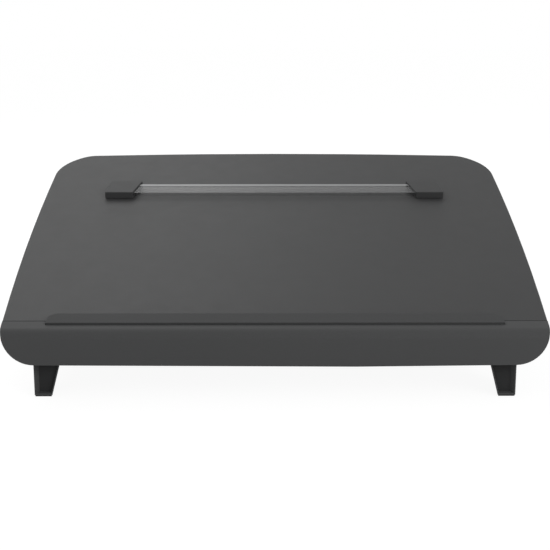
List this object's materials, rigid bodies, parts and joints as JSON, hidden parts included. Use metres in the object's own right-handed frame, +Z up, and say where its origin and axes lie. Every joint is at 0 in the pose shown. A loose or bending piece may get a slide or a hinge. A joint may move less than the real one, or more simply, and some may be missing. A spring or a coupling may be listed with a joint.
{
  "type": "sloped document holder with drawer",
  "caption": "Sloped desk document holder on two side frames, with a ledge, a clear sliding line guide and a shallow drawer behind its curved front edge.",
  "frame": {"origin": "middle of the footprint of the closed holder, on the surface it stands on", "axes": "+X to the right seen from the front, -Y towards the user and the drawer's way out, +Z up"},
  "size_m": [0.443, 0.3552, 0.15],
  "materials": {
    "board_plastic": "fine moulded texture, charcoal grey",
    "ledge_plastic": "fine moulded texture, dark grey",
    "frame_plastic": "moulded, black",
    "runner_plastic": "smooth moulded, black",
    "tray_plastic": "moulded, dark grey",
    "clip_plastic": "moulded, charcoal grey",
    "clear_acrylic": "clear polished acrylic",
    "steel": "cold rolled strip",
    "magnet_plating": "nickel plated",
    "pad_rubber": "matte rubber",
    "glide_felt": "short felt"
  },
  "bodies": {
    "stand": {"board": "board_plastic", "document_ledge": "ledge_plastic", "left_steel_strip": "steel", "right_steel_strip": "steel", "left_side_frame": "frame_plastic", "right_side_frame": "frame_plastic", "left_front_pad": "pad_rubber", "right_front_pad": "pad_rubber", "left_rear_pad": "pad_rubber", "right_rear_pad": "pad_rubber", "stop_brace": "frame_plastic", "rear_brace": "frame_plastic", "drawer_bumpers": "pad_rubber", "left_runner": "runner_plastic", "right_runner": "runner_plastic"},
    "drawer": {"drawer_front": "board_plastic", "drawer_tray": "tray_plastic", "tray_divider": "tray_plastic"},
    "line_guide": {"guide_bar": "clear_acrylic", "left_guide_clip": "clip_plastic", "right_guide_clip": "clip_plastic", "left_clip_base": "clip_plastic", "right_clip_base": "clip_plastic", "left_glide_pad": "glide_felt", "right_glide_pad": "glide_felt", "guide_magnets": "magnet_plating"}
  },
  "joints": [
    {"name": "drawer_slide", "type": "slide", "parent": "stand", "child": "drawer", "axis": [0, -1, 0], "range_m": [0, 0.14]},
    {"name": "line_guide_slide", "type": "slide", "parent": "stand", "child": "line_guide", "axis": [0, 0.9659, 0.2588], "range_m": [-0.218, 0.072]}
  ]
}
